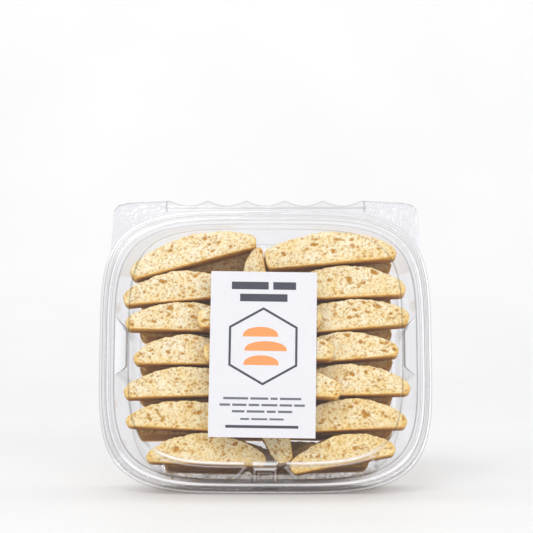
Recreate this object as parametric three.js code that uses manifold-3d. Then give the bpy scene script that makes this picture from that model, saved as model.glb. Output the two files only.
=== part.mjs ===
// A shut, clear plastic pack of half-moon biscotti, standing up and leaning back on its base.
// Millimetres, +Z up. The front, with the lid and the label, faces -Y.
// The pack is built upright in its own frame: X across, Y back from the flange, Z up from the rim.
import * as THREE from "three";
import { mergeVertices } from "three/addons/utils/BufferGeometryUtils.js";
import Module from "manifold-3d";

// Driving dimensions of the pack
const RIM_HALF_WIDTH = 95.25;
const RIM_HALF_HEIGHT = 82.55;
const BASE_DEPTH = 42;
const LID_DEPTH = 16;
const SHEET = 0.6; // thickness of the clear plastic
const GAP = 0.3; // free space between neighbouring pieces
const SQUARENESS = 4.2; // exponent of the rim's rounded outline
const RING_POINTS = 72;
const REST_HALF_LENGTH = 26; // half of the straight stretch that the pack stands on

// Base tray: the wall's half sizes at the mouth and at the floor
const MOUTH_HALF = [86.4, 74.1];
const FLOOR_HALF = [80.4, 72.6];
const FLOOR_CHAMFER = 1;
const LIP_DEPTH = 1.2;
const LIP_WIDTH = 0.8;

// Finger recess at the middle of both sides of the base tray: distances from the centre
const RECESS_DEPTH_X = 79.2;
const RECESS_SPAN = [-15.4, -9, 10.9, 21.5];

// Lid: half sizes at the foot of its wall, at the bend and on the flat front
const LID_FOOT_HALF = [88.8, 76.4];
const LID_BEND_HALF = [87.2, 75.2];
const LID_FRONT_HALF = [77.5, 67.6];
const LID_BEND_DEPTH = 3;

// Hinge strip along the top of both flanges
const EAR_HALF_WIDTH = 89.9;
const EAR_CORNER = [88.2, 165];
const EAR_TOP = 170.9;
const EAR_CORNER_DROP = 2.6;
const SCALLOPS = 5;
const SCALLOP_PITCH = 22.3;
const SCALLOP_DIP = 3;
const STRIP_BOTTOM = 140;

// Paper label on the front of the lid
const LABEL_SIZE = [60.3, 95.3];
const LABEL_CENTRE = [-1.45, 77.2];
const LABEL_TURN = -0.85;
const LABEL_THICKNESS = 0.3;

// Biscotti: slices with a flat bottom and a domed top
const SLICE_THICKNESS = 12.9;
const SLICE_PITCH = 13.3;
const SLICE_NOSE = 3; // how far the bottom corners stand in from the tips
const NOSE_BULGE = [0.3, 0.3]; // a point between tip and corner, as shares of the nose and the end
const DOME_POINTS = 13;
const DOME_POWER = [1.6, 0.58];
const EDGE_SCALE = 0.985; // the crust rounds in towards both cut faces
const CRUST_NOISE = 0.3;
const FRONT_FACE_Y = -0.6;
const CENTRE_FACE_Y = -14.2;

// Front layer, as [middle x, bottom z, tilt, length, height, peak, left end, right end, forward, pores].
// Peak is where the dome is highest, from -1 to 1, and an end is its share of the height.
// Forward is how far the slice stands out to the front. A pore is [x, z, radius] on the cut face.
const LEFT_FRONT = [
  [-40.7, 133.1, 15.2, 75.4, 17.3, -0.05, 0.26, 0.3, 3, [[-12, 11, 1.7], [9, 12.5, 1.9], [16, 8, 1.3]]],
  [-49.5, 111.4, 4.9, 64.8, 18.2, 0.1, 0.25, 0.3, 1, [[-9, 12, 2.3], [15, 10, 1.4]]],
  [-48.8, 94.2, -1.4, 64, 17.3, 0.15, 0.23, 0.3, 0, [[-7, 13, 1.9], [7, 8, 1.3]]],
  [-44.8, 74.5, -0.4, 62, 17.9, -0.1, 0.18, 0.3, 0, [[-11, 7, 1.9], [-20, 8, 1.3]]],
  [-45.2, 55.8, 1.6, 71.6, 17.9, -0.05, 0.22, 0.3, 0, [[-20, 9, 1.3], [4, 7, 1.2]]],
  [-44.4, 36.7, -3.4, 71.2, 17.3, 0, 0.18, 0.3, 0, [[-22, 5, 1.7], [6, 10, 1.6]]],
  [-33.8, 16.6, -2.2, 68, 18.3, 0, 0.16, 0.22, 2, [[-17, 8, 1.9], [16, 12, 2], [10, 6, 1.3]]],
];
const RIGHT_FRONT = [
  [38.1, 132.6, 5.3, 76, 19.2, -0.05, 0.5, 0.15, 4.2, [[-27, 8, 1.7], [-9, 12, 1.9], [13, 13, 1.5]]],
  [43.7, 113.1, 2.5, 74.8, 19.3, 0.25, 0.35, 0.2, 1.5, [[20, 14, 2.4], [5, 11, 1.8], [13, 8, 1.6]]],
  [46.5, 94.5, 5.1, 73.8, 18.3, 0.1, 0.3, 0.3, 0, [[19, 12, 2.3], [3, 7, 1.6]]],
  [43.1, 76.6, 4.8, 67.6, 16.9, 0.1, 0.3, 0.2, 0, [[12, 10, 2.2], [25, 8, 1.7]]],
  [47.5, 56.4, 1.4, 71, 18.8, 0.05, 0.3, 0.18, 0, [[2, 12, 2.1], [14, 7, 1.3]]],
  [47.8, 36.3, 2.7, 66.4, 18.7, 0.1, 0.3, 0.2, 0, [[10, 9, 2.5], [-8, 7, 1.3]]],
  [44.4, 16.2, 11, 60.6, 17.1, 0.2, 0.3, 0.22, 4.6, [[8, 8, 1.5], [-10, 6, 1.2]]],
];
const UPRIGHTS = [
  [2.5, 112.9, 98.2, 61.8, 17.6, 0, 0.3, 0.16, 0, []],
  [11.6, 48.4, 98.2, 61.4, 17.6, 0, 0.42, 0.3, 0, []],
];
const CENTRE_FRONT = [
  [-3.5, 93.3, 0, 71, 16.9, 0.1, 0.45, 0.45, 0, []],
  [2, 74.3, 0.8, 74.6, 17.2, 0.1, 0.45, 0.4, 0, [[31, 9, 1.4]]],
  [6.5, 54.8, -3.6, 72.2, 17.4, 0, 0.45, 0.35, 0, [[27, 8, 1.2]]],
];

// Hidden layers: seven rows of slices in two columns, a little uneven
const ROWS = 7;
const ROW_PITCH = 19.1;
const HIDDEN_BOTTOM_Z = 16.2;
const HIDDEN_LAYERS = [
  ["middle", 1],
  ["back", 2],
];
const HIDDEN_TIP = 74.4; // how far out a slice reaches at most
const HIDDEN_SHIFT = 5.5; // the two columns meet to the left or the right of the middle by turns
const LOWEST_TIP = 60.5; // the lowest row fits between the tray's round corners
const LOWEST_SHIFT = 10;
const HIDDEN_PLAY = 2;
const HIDDEN_HEIGHT = [17.2, 1.2]; // least, and how much more it may be
const HIDDEN_TILT = 4;

const wasm = await Module();
wasm.setup();

const degrees = THREE.MathUtils.degToRad;
const clearPlastic = { color: 0xe9eaf1, roughness: 0.12, metalness: 0 };
const paper = { color: 0xf4f4f6, roughness: 0.75, metalness: 0 };
const biscuit = { color: 0xe9cf97, roughness: 0.9, metalness: 0 };

// The same sequence of values from 0 to 1 each time for one seed.
function randomSequence(seed) {
  let state = seed * 7919 + 17;
  return () => {
    state = (state * 16807) % 2147483647;
    return state / 2147483647;
  };
}

// A closed body through rings of points that follow each other along +Y.
function loft(rings) {
  const count = rings[0].length;
  const flat = rings[0].map((p) => new THREE.Vector2(p.x, p.z));
  const cap = THREE.ShapeUtils.triangulateShape(flat, []);
  const last = (rings.length - 1) * count;
  const index = [];
  for (const [a, b, c] of cap) index.push(a, b, c, last + a, last + c, last + b);
  for (let r = 0; r < last; r += count) {
    for (let i = 0; i < count; i++) {
      const j = (i + 1) % count;
      index.push(r + i, r + count + i, r + count + j, r + i, r + count + j, r + j);
    }
  }
  const geometry = new THREE.BufferGeometry().setFromPoints(rings.flat());
  geometry.setIndex(index);
  return geometry;
}

function solid(geometry) {
  geometry.deleteAttribute("normal");
  geometry.deleteAttribute("uv");
  const merged = mergeVertices(geometry, 1e-4);
  const vertProperties = merged.attributes.position.array;
  const triVerts = new Uint32Array(merged.index.array);
  return new wasm.Manifold(new wasm.Mesh({ numProp: 3, vertProperties, triVerts }));
}

function geometryOf(body) {
  const mesh = body.getMesh();
  const geometry = new THREE.BufferGeometry();
  geometry.setAttribute("position", new THREE.BufferAttribute(new Float32Array(mesh.vertProperties), 3));
  geometry.setIndex(new THREE.BufferAttribute(new Uint32Array(mesh.triVerts), 1));
  return geometry;
}

function meshOf(name, body, look) {
  const geometry = geometryOf(body).toNonIndexed();
  geometry.computeVertexNormals();
  const mesh = new THREE.Mesh(geometry, new THREE.MeshStandardMaterial(look));
  mesh.name = name;
  return mesh;
}

// The pack's rounded outline at one depth, flat where it can stand.
function packRing(halfWidth, halfHeight, y) {
  const points = [];
  for (let i = 0; i < RING_POINTS; i++) {
    const angle = (2 * Math.PI * i) / RING_POINTS;
    const across = Math.abs(Math.cos(angle) / halfWidth) ** SQUARENESS;
    const upward = Math.abs(Math.sin(angle) / halfHeight) ** SQUARENESS;
    const radius = (across + upward) ** (-1 / SQUARENESS);
    const x = radius * Math.cos(angle);
    const flat = Math.abs(x) < REST_HALF_LENGTH;
    const z = flat ? Math.sign(Math.sin(angle)) * halfHeight : radius * Math.sin(angle);
    points.push(new THREE.Vector3(x, y, RIM_HALF_HEIGHT + z));
  }
  return points;
}

function outlineRing(corners, y) {
  return corners.map(([x, z]) => new THREE.Vector3(x, y, z));
}

// Half of the hinge strip's outline, from the scalloped middle to the square ear.
function stripOutline() {
  const right = [];
  const scallopEnd = (SCALLOPS * SCALLOP_PITCH) / 2;
  const steps = SCALLOPS * 6;
  for (let i = steps / 2; i <= steps; i++) {
    const x = -scallopEnd + (2 * scallopEnd * i) / steps;
    const phase = (Math.PI * (x + scallopEnd)) / SCALLOP_PITCH;
    right.push([x, EAR_TOP - SCALLOP_DIP * Math.abs(Math.sin(phase))]);
  }
  right.push([EAR_CORNER[0] - 3 * EAR_CORNER_DROP, EAR_TOP - EAR_CORNER_DROP / 2]);
  right.push([EAR_CORNER[0] - EAR_CORNER_DROP, EAR_TOP - EAR_CORNER_DROP]);
  right.push(EAR_CORNER);
  right.push([EAR_HALF_WIDTH, STRIP_BOTTOM]);
  const left = right.slice(1).reverse().map(([x, z]) => [-x, z]);
  return left.concat(right).reverse();
}

// One flange sheet with its hinge strip, between two depths.
function flange(front, back) {
  const plate = loft([front, back].map((y) => packRing(RIM_HALF_WIDTH, RIM_HALF_HEIGHT, y)));
  const strip = loft([front, back].map((y) => outlineRing(stripOutline(), y)));
  return solid(plate).add(solid(strip));
}

function recessCutter(side, growth, start) {
  const [low, lowIn, highIn, high] = RECESS_SPAN.map((z) => RIM_HALF_HEIGHT + z);
  const deep = RECESS_DEPTH_X - growth;
  const mouth = MOUTH_HALF[0] + 1 - growth;
  const outside = RIM_HALF_WIDTH + 20;
  const corners = [
    [outside, low - growth],
    [outside, high + growth],
    [mouth, high + growth],
    [deep, highIn + growth],
    [deep, lowIn - growth],
    [mouth, low - growth],
  ].map(([x, z]) => [side * x, z]);
  const outline = side > 0 ? corners : corners.reverse();
  return solid(loft([start, BASE_DEPTH + 10].map((y) => outlineRing(outline, y))));
}

// The tray's body, shrunk on all sides by inset; start is the depth of its mouth.
// The recesses begin under the flange, which runs on over them.
function trayBody(inset, start) {
  const floor = BASE_DEPTH - inset;
  const halves = (share, less) =>
    [0, 1].map((k) => THREE.MathUtils.lerp(MOUTH_HALF[k], FLOOR_HALF[k], share) - inset - less);
  const rings = [
    packRing(...halves(0, 0), start),
    packRing(...halves(1, 0), floor - FLOOR_CHAMFER),
    packRing(...halves(1, FLOOR_CHAMFER), floor),
  ];
  const recessStart = start + SHEET;
  const body = solid(loft(rings));
  return body.subtract(recessCutter(1, inset, recessStart)).subtract(recessCutter(-1, inset, recessStart));
}

function baseTray() {
  const lipInner = [RIM_HALF_WIDTH - LIP_WIDTH, RIM_HALF_HEIGHT - LIP_WIDTH];
  const lip = solid(loft([0, LIP_DEPTH].map((y) => packRing(RIM_HALF_WIDTH, RIM_HALF_HEIGHT, y))))
    .subtract(solid(loft([SHEET, LIP_DEPTH + 1].map((y) => packRing(...lipInner, y)))));
  return flange(0, SHEET).add(lip).add(trayBody(0, 0)).subtract(trayBody(SHEET, -2));
}

function lidBody(inset, start) {
  const shrink = (half) => half.map((size) => size - inset);
  return solid(loft([
    packRing(...shrink(LID_FRONT_HALF), inset - LID_DEPTH),
    packRing(...shrink(LID_BEND_HALF), -LID_BEND_DEPTH),
    packRing(...shrink(LID_FOOT_HALF), start),
  ]));
}

function lid() {
  const back = -GAP;
  return flange(back - SHEET, back).add(lidBody(0, back)).subtract(lidBody(SHEET, 1));
}

function label() {
  const [width, height] = LABEL_SIZE;
  const plate = new THREE.BoxGeometry(width, LABEL_THICKNESS, height);
  plate.rotateY(-degrees(LABEL_TURN));
  plate.translate(LABEL_CENTRE[0], -LID_DEPTH - GAP - LABEL_THICKNESS / 2, LABEL_CENTRE[1]);
  return solid(plate);
}

// A slice's outline about the middle of its flat bottom, anticlockwise.
function sliceOutline(length, height, peak, leftEnd, rightEnd, random) {
  const half = length / 2;
  const top = peak * half * 0.5;
  const phase = [random(), random()].map((value) => value * 2 * Math.PI);
  const [inward, upward] = NOSE_BULGE;
  const points = [
    [-half + inward * SLICE_NOSE, upward * leftEnd * height],
    [-half + SLICE_NOSE, 0],
    [half - SLICE_NOSE, 0],
    [half - inward * SLICE_NOSE, upward * rightEnd * height],
  ];
  for (let i = 0; i < DOME_POINTS; i++) {
    const x = half * Math.cos((Math.PI * i) / (DOME_POINTS - 1));
    const end = (x > top ? rightEnd : leftEnd) * height;
    const share = Math.min(1, Math.abs(x - top) / (x > top ? half - top : half + top));
    const rise = (1 - share ** DOME_POWER[0]) ** DOME_POWER[1];
    const rough = CRUST_NOISE * (Math.sin(x * 0.31 + phase[0]) + Math.sin(x * 0.83 + phase[1]));
    points.push([x, end + (height - end - Math.abs(rough)) * rise]);
  }
  return points;
}

function poreCutter([x, z, radius], face) {
  const cutter = new THREE.IcosahedronGeometry(radius, 0);
  cutter.scale(1.25, 0.7, 0.85);
  cutter.translate(x, face, z);
  return solid(cutter);
}

// One slice in the pack's frame, its cut faces turned to the front and the back.
function slice(place, face, seed) {
  const [x, z, tilt, length, height, peak, leftEnd, rightEnd, forward, pores] = place;
  const random = randomSequence(seed);
  const outline = sliceOutline(length, height, peak, leftEnd, rightEnd, random);
  const ring = (scale, y) =>
    outline.map(([px, pz]) => new THREE.Vector3(px * scale, y, height / 2 + (pz - height / 2) * scale));
  const rings = [ring(EDGE_SCALE, 0), ring(1, SLICE_THICKNESS / 2), ring(EDGE_SCALE, SLICE_THICKNESS)];
  let body = solid(loft(rings));
  for (const pore of pores) body = body.subtract(poreCutter(pore, 0));
  return body.rotate([0, -tilt, 0]).translate([x, face - forward, z]);
}

function hiddenSlice(row, side, step, random) {
  const [reach, shift] = row === ROWS - 1 ? [LOWEST_TIP, LOWEST_SHIFT] : [HIDDEN_TIP, HIDDEN_SHIFT];
  const meeting = (row + step) % 2 ? shift : -shift;
  const outer = side * (reach - HIDDEN_PLAY * random());
  const inner = meeting + side * (GAP + HIDDEN_PLAY * random());
  const height = HIDDEN_HEIGHT[0] + HIDDEN_HEIGHT[1] * random();
  const tilt = HIDDEN_TILT * (random() - 0.5);
  const z = HIDDEN_BOTTOM_Z + (ROWS - 1 - row) * ROW_PITCH;
  return [(outer + inner) / 2, z, tilt, Math.abs(outer - inner), height, random() - 0.5, 0.25, 0.25, 0, []];
}

// The pack leans back until its rim and the edge of its floor both touch the ground.
function leanAngle() {
  const rise = RIM_HALF_HEIGHT - FLOOR_HALF[1];
  return Math.atan2(rise, BASE_DEPTH - FLOOR_CHAMFER - LIP_DEPTH);
}

const pack = new THREE.Group();
pack.add(meshOf("base_tray", baseTray(), clearPlastic));
pack.add(meshOf("lid", lid(), clearPlastic));
pack.add(meshOf("label", label(), paper));

let seed = 1;
function addRow(name, places, face) {
  places.forEach((place, row) => {
    const body = slice(place, face, seed);
    pack.add(meshOf(`biscotto_${name}_${row + 1}`, body, biscuit));
    seed += 1;
  });
}
addRow("front_left", LEFT_FRONT, FRONT_FACE_Y);
addRow("front_right", RIGHT_FRONT, FRONT_FACE_Y);
addRow("upright", UPRIGHTS, FRONT_FACE_Y);
addRow("centre", CENTRE_FRONT, CENTRE_FACE_Y);
for (const [layer, step] of HIDDEN_LAYERS) {
  for (const [column, side] of [["left", -1], ["right", 1]]) {
    const random = randomSequence(100 * step + side);
    const places = [];
    for (let row = 0; row < ROWS; row++) places.push(hiddenSlice(row, side, step, random));
    addRow(`${layer}_${column}`, places, FRONT_FACE_Y + step * SLICE_PITCH);
  }
}

// Standing pose: lean back, then put the middle of the footprint at the origin.
pack.rotation.x = -leanAngle();
pack.updateMatrixWorld(true);
const bounds = new THREE.Box3().setFromObject(pack, true);
const middle = bounds.getCenter(new THREE.Vector3());
pack.position.set(-middle.x, -middle.y, -bounds.min.z);

const part = new THREE.Group();
part.add(pack);
export default part;
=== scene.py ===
import math

import bpy
import numpy as np
from mathutils import Matrix, Vector

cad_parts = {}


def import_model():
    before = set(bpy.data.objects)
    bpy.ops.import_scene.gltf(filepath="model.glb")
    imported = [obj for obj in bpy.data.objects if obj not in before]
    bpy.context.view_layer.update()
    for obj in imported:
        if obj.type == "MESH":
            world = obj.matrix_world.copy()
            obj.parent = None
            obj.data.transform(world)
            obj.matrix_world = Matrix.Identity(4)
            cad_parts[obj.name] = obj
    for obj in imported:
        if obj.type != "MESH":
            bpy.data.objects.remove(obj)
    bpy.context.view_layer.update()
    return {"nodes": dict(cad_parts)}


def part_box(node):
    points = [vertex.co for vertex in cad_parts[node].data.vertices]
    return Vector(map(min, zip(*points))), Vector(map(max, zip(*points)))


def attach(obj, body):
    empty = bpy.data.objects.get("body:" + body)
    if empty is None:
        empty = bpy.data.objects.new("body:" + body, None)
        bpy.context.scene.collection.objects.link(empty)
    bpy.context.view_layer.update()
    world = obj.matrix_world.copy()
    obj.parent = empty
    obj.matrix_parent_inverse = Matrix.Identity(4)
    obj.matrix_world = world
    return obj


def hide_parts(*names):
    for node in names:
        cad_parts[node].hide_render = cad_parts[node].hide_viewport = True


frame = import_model()

# The pack's own frame, in millimetres: X across, Y back from the flange, Z up from the rim
RIM_HALF = (95.25, 82.55)
BASE_DEPTH = 42.0
LID_DEPTH = 16.0
SQUARENESS = 4.2
MOUTH_HALF = (86.4, 74.1)
FLOOR_HALF = (80.4, 72.6)
FLOOR_CHAMFER = 1.0
LIP_DEPTH = 1.2
RECESS_X = 79.2
RECESS_SPAN = (-15.4, -9.0, 10.9, 21.5)
LABEL_CENTRE = (-1.45, 77.2)
LABEL_TURN = -0.85
LABEL_FACE_Y = -16.6
LABEL_THICKNESS = 0.3
SLICE_THICKNESS = 12.9
LEAN = math.atan2(RIM_HALF[1] - FLOOR_HALF[1], BASE_DEPTH - FLOOR_CHAMFER - LIP_DEPTH)
MM = 0.001
CENTRE_Z = RIM_HALF[1]

# Camera: the photo's pixels, and the distance that a long lens would stand at
PHOTO_SIZE = 533
MM_PER_PIXEL = 0.574
CAMERA_DISTANCE = 1200.0
FACE_TILT = math.radians(10.5)
PACK_CENTRE_PIXEL = (265.5, 352.3)
AIM_Z = 81.25
SENSOR = 36.0


def turn(points, angle):
    """Turns points back about the X axis."""
    cos, sin = math.cos(angle), math.sin(angle)
    x, y, z = points[..., 0], points[..., 1], points[..., 2]
    return np.stack([x, y * cos + z * sin, z * cos - y * sin], -1)


def node_points(name):
    """A CAD node's vertices in metres, in the row frame."""
    mesh = frame["nodes"][name].data
    points = np.zeros(len(mesh.vertices) * 3)
    mesh.vertices.foreach_get("co", points)
    return points.reshape(-1, 3)


label_middle = np.array([LABEL_CENTRE[0], LABEL_FACE_Y + LABEL_THICKNESS / 2, LABEL_CENTRE[1]])
label_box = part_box("label")
PACK_ORIGIN = np.array((label_box[0] + label_box[1]) / 2) / MM - turn(label_middle, LEAN)


def to_row(points):
    """Pack-frame millimetres to row-frame metres."""
    return (turn(np.asarray(points, float), LEAN) + PACK_ORIGIN) * MM


def to_pack(points):
    """Row-frame metres to pack-frame millimetres."""
    return turn(np.asarray(points, float) / MM - PACK_ORIGIN, -LEAN)


def smooth(low, high, value):
    share = np.clip((np.asarray(value, float) - low) / (high - low), 0, 1)
    return share * share * (3 - 2 * share)


class Noise:
    """Smooth seeded noise from -1 to 1 over space."""

    def __init__(self, seed):
        self.grid = np.random.RandomState(seed).uniform(-1, 1, (32, 32, 32))

    def __call__(self, x, y, z, size):
        coords = [np.asarray(c, float) / size for c in np.broadcast_arrays(x, y, z)]
        cells = [np.floor(c).astype(int) for c in coords]
        parts = [c - i for c, i in zip(coords, cells)]
        blends = [p * p * (3 - 2 * p) for p in parts]
        total = 0
        for corner in range(8):
            steps = [(corner >> axis) & 1 for axis in range(3)]
            weight = 1
            for blend, step in zip(blends, steps):
                weight = weight * (blend if step else 1 - blend)
            index = [(cell + step) % 32 for cell, step in zip(cells, steps)]
            total = total + weight * self.grid[index[0], index[1], index[2]]
        return total


def mesh_object(name, points, faces, material, attributes=None, flat=False):
    """A mesh piece from row-frame points, with float attributes on its points."""
    mesh = bpy.data.meshes.new(name)
    mesh.from_pydata(np.asarray(points).tolist(), [], [list(face) for face in faces])
    mesh.polygons.foreach_set("use_smooth", [not flat] * len(mesh.polygons))
    for key, values in (attributes or {}).items():
        layer = mesh.attributes.new(key, "FLOAT", "POINT")
        layer.data.foreach_set("value", np.asarray(values, np.float32).ravel())
    mesh.materials.append(material)
    mesh.update()
    piece = bpy.data.objects.new(name, mesh)
    bpy.context.scene.collection.objects.link(piece)
    return piece


def dress(piece, slot, *nodes):
    """Gives a piece its body, and hides the CAD nodes that it stands for; the slot is not used."""
    for node in nodes:
        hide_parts(node)
    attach(piece, "root")
    return piece


# Materials

class Nodes:
    """A short way to build a material's node tree."""

    def __init__(self, name):
        self.material = bpy.data.materials.new(name)
        self.material.use_nodes = True
        self.tree = self.material.node_tree
        self.tree.nodes.clear()

    def add(self, kind, **settings):
        node = self.tree.nodes.new("ShaderNode" + kind)
        for key, value in settings.items():
            if hasattr(node, key):
                setattr(node, key, value)
            else:
                node.inputs[key.replace("_", " ")].default_value = value
        return node

    def link(self, source, target):
        self.tree.links.new(source, target)

    def math(self, operation, a, b=0.0, clamp=False):
        node = self.add("Math", operation=operation, use_clamp=clamp)
        for socket, value in zip(node.inputs, (a, b)):
            if isinstance(value, (int, float)):
                socket.default_value = value
            else:
                self.link(value, socket)
        return node.outputs[0]

    def ramp(self, factor, *stops):
        node = self.add("ValToRGB")
        elements = node.color_ramp.elements
        while len(elements) < len(stops):
            elements.new(0.5)
        for element, (place, colour) in zip(elements, stops):
            element.position = place
            element.color = (*colour, 1)
        self.link(factor, node.inputs["Fac"])
        return node.outputs["Color"]

    def mix(self, factor, a, b, blend="MIX"):
        node = self.add("Mix", data_type="RGBA", blend_type=blend)
        sockets = (node.inputs[0], node.inputs[6], node.inputs[7])
        for socket, value in zip(sockets, (factor, a, b)):
            if isinstance(value, (int, float)):
                socket.default_value = value
            elif isinstance(value, tuple):
                socket.default_value = (*value, 1)
            else:
                self.link(value, socket)
        return node.outputs[2]

    def noise(self, place, scale, detail=3.0, roughness=0.55):
        node = self.add("TexNoise", Scale=scale, Detail=detail, Roughness=roughness)
        self.link(place, node.inputs["Vector"])
        return node.outputs[0]

    def attribute(self, name):
        return self.add("Attribute", attribute_name=name).outputs["Fac"]

    def place(self):
        return self.add("TexCoord").outputs["Object"]

    def above(self, value, start, slope):
        """Rises from 0 to 1 where the value passes the start."""
        return self.math("MULTIPLY", self.math("SUBTRACT", value, start), slope, True)

    def below(self, value, start, slope):
        """Rises from 0 to 1 where the value falls under the start."""
        return self.math("MULTIPLY", self.math("SUBTRACT", start, value), slope, True)

    def bump(self, height, strength, distance):
        node = self.add("Bump", Strength=strength, Distance=distance)
        self.link(height, node.inputs["Height"])
        return node.outputs[0]

    def blend(self, factor, first, second):
        mixer = self.add("MixShader")
        for source, socket in zip((factor, first.outputs[0], second.outputs[0]), mixer.inputs):
            self.link(source, socket)
        return mixer

    def finish(self, surface):
        output = self.add("OutputMaterial")
        self.link(surface.outputs[0], output.inputs["Surface"])
        return self.material

    def matt(self, colour, roughness, normal=None):
        """A matt surface of this colour."""
        shader = self.add("BsdfPrincipled", Roughness=roughness)
        self.link(colour, shader.inputs["Base Color"])
        if normal:
            self.link(normal, shader.inputs["Normal"])
        return shader


def rgb(red, green, blue):
    """A display colour from 0 to 255 as linear light."""
    shares = [channel / 255 for channel in (red, green, blue)]
    return tuple(s / 12.92 if s <= 0.04045 else ((s + 0.055) / 1.055) ** 2.4 for s in shares)


# Biscuit colours; of each pair, the first is the inner crumb or the darker mottle
PALE_CRUMB = (rgb(252, 246, 220), rgb(252, 231, 170))
WARM_CRUMB = (rgb(250, 231, 178), rgb(239, 200, 110))
FLECK_COLOUR = rgb(255, 252, 232)
GRAIN_COLOUR = rgb(232, 192, 108)
PIT_COLOUR = rgb(208, 154, 56)
PORE_COLOUR = rgb(196, 142, 48)
TOP_CRUST = ((0.3, rgb(236, 196, 114)), (0.7, rgb(252, 228, 162)))
BOTTOM_CRUST = ((0.3, rgb(212, 150, 56)), (0.7, rgb(240, 188, 90)))
PILE_SHADE = (0.42, 0.29, 0.17)

# Biscuit noises: scale per metre, detail and roughness
BROAD_NOISE = (170, 4, 0.6)
FINE_NOISE = (620, 4, 0.65)
PIT_NOISE = (660, 3, 0.5)
SPECK_NOISE = (1200, 2, 0.5)
MOTTLE_NOISE = (300, 4, 0.6)

# Where each noise starts to show and how sharply; then how strongly
WARM_START = (0.34, 3.2)
FLECK_START, FLECK_STRENGTH = (0.58, 9.0), 0.6
GRAIN_START, GRAIN_STRENGTH = (0.48, 9.0), 0.6
PIT_START, PIT_STRENGTH = (0.44, 16.0), 0.72
SPECK_START, SPECK_STRENGTH = (0.41, 14.0), 0.8
PORE_STRENGTH = 1.3
PIT_SINK = 0.4


def biscuit_material():
    """Dry crumb with small pits, browning to a crust; the points say where pores, crust and shade are."""
    n = Nodes("biscuit")
    place = n.place()
    toast = n.attribute("toast")
    fine = n.noise(place, *FINE_NOISE)
    warm = n.above(n.noise(place, *BROAD_NOISE), *WARM_START)
    crumb = n.mix(warm, n.mix(toast, *PALE_CRUMB), n.mix(toast, *WARM_CRUMB))
    fleck = n.math("MULTIPLY", n.above(fine, *FLECK_START), FLECK_STRENGTH)
    crumb = n.mix(fleck, crumb, FLECK_COLOUR)
    grain = n.math("MULTIPLY", n.below(fine, *GRAIN_START), GRAIN_STRENGTH)
    crumb = n.mix(grain, crumb, GRAIN_COLOUR)
    pit = n.below(n.noise(place, *PIT_NOISE), *PIT_START)
    speck = n.below(n.noise(place, *SPECK_NOISE), *SPECK_START)
    pit = n.math("MAXIMUM", pit, n.math("MULTIPLY", speck, SPECK_STRENGTH))
    crumb = n.mix(n.math("MULTIPLY", pit, PIT_STRENGTH), crumb, PIT_COLOUR)
    pore = n.math("MULTIPLY", n.attribute("pore"), PORE_STRENGTH, True)
    crumb = n.mix(pore, crumb, PORE_COLOUR)
    mottle = n.noise(place, *MOTTLE_NOISE)
    crust = n.mix(n.attribute("under"), n.ramp(mottle, *TOP_CRUST), n.ramp(mottle, *BOTTOM_CRUST))
    colour = n.mix(n.attribute("crust"), crumb, crust)
    colour = n.mix(n.attribute("shade"), colour, PILE_SHADE, "MULTIPLY")
    height = n.math("SUBTRACT", fine, n.math("MULTIPLY", pit, PIT_SINK))
    shader = n.matt(colour, 0.85, n.bump(height, 0.5, 0.0005))
    shader.inputs["Specular IOR Level"].default_value = 0.25
    return n.finish(shader)


# Plastic: what shows through the sheet, what lies on it, and the painted shade and painted highlights along
# its edges
CLEAR_TINT = ((0.35, (0.975, 0.975, 0.98)), (0.65, (0.99, 0.99, 0.995)))
TONE_TINT = (0.93, 0.93, 0.95)
EDGE_TINT = (0.96, 0.955, 0.96)
# Painted shade: darkens the sheet along its bends, ridges, seams and pressed edges, standing in for
# refraction
BEND_SHADE_TINT = (0.36, 0.33, 0.32)
EDGE_POWER = 2.5
# Colour of the milky haze, and of the painted highlights that use it
HAZE_AND_HIGHLIGHT_COLOUR = (0.9, 0.9, 0.93)
# Crumb dust, its dark brown also painted shade and reflection on the tray's lowest wall
DUST_AND_SHADE_COLOUR = ((0.35, (0.19, 0.12, 0.075)), (0.7, (0.46, 0.32, 0.2)))
DUST_AND_SHADE_GRAIN = (260, 4, 0.7)
DUST_AND_SHADE_PATCHES = (190, 4, 0.7)
DUST_AND_SHADE_START = (0.3, 2.6)
DUST_AND_SHADE_STRENGTH = 1.3
GLOSS_COLOUR = (0.97, 0.97, 0.98, 1)
GLOSS_POWER, GLOSS_SHARE, GLOSS_LEAST = 5, 0.75, 0.05


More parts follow.
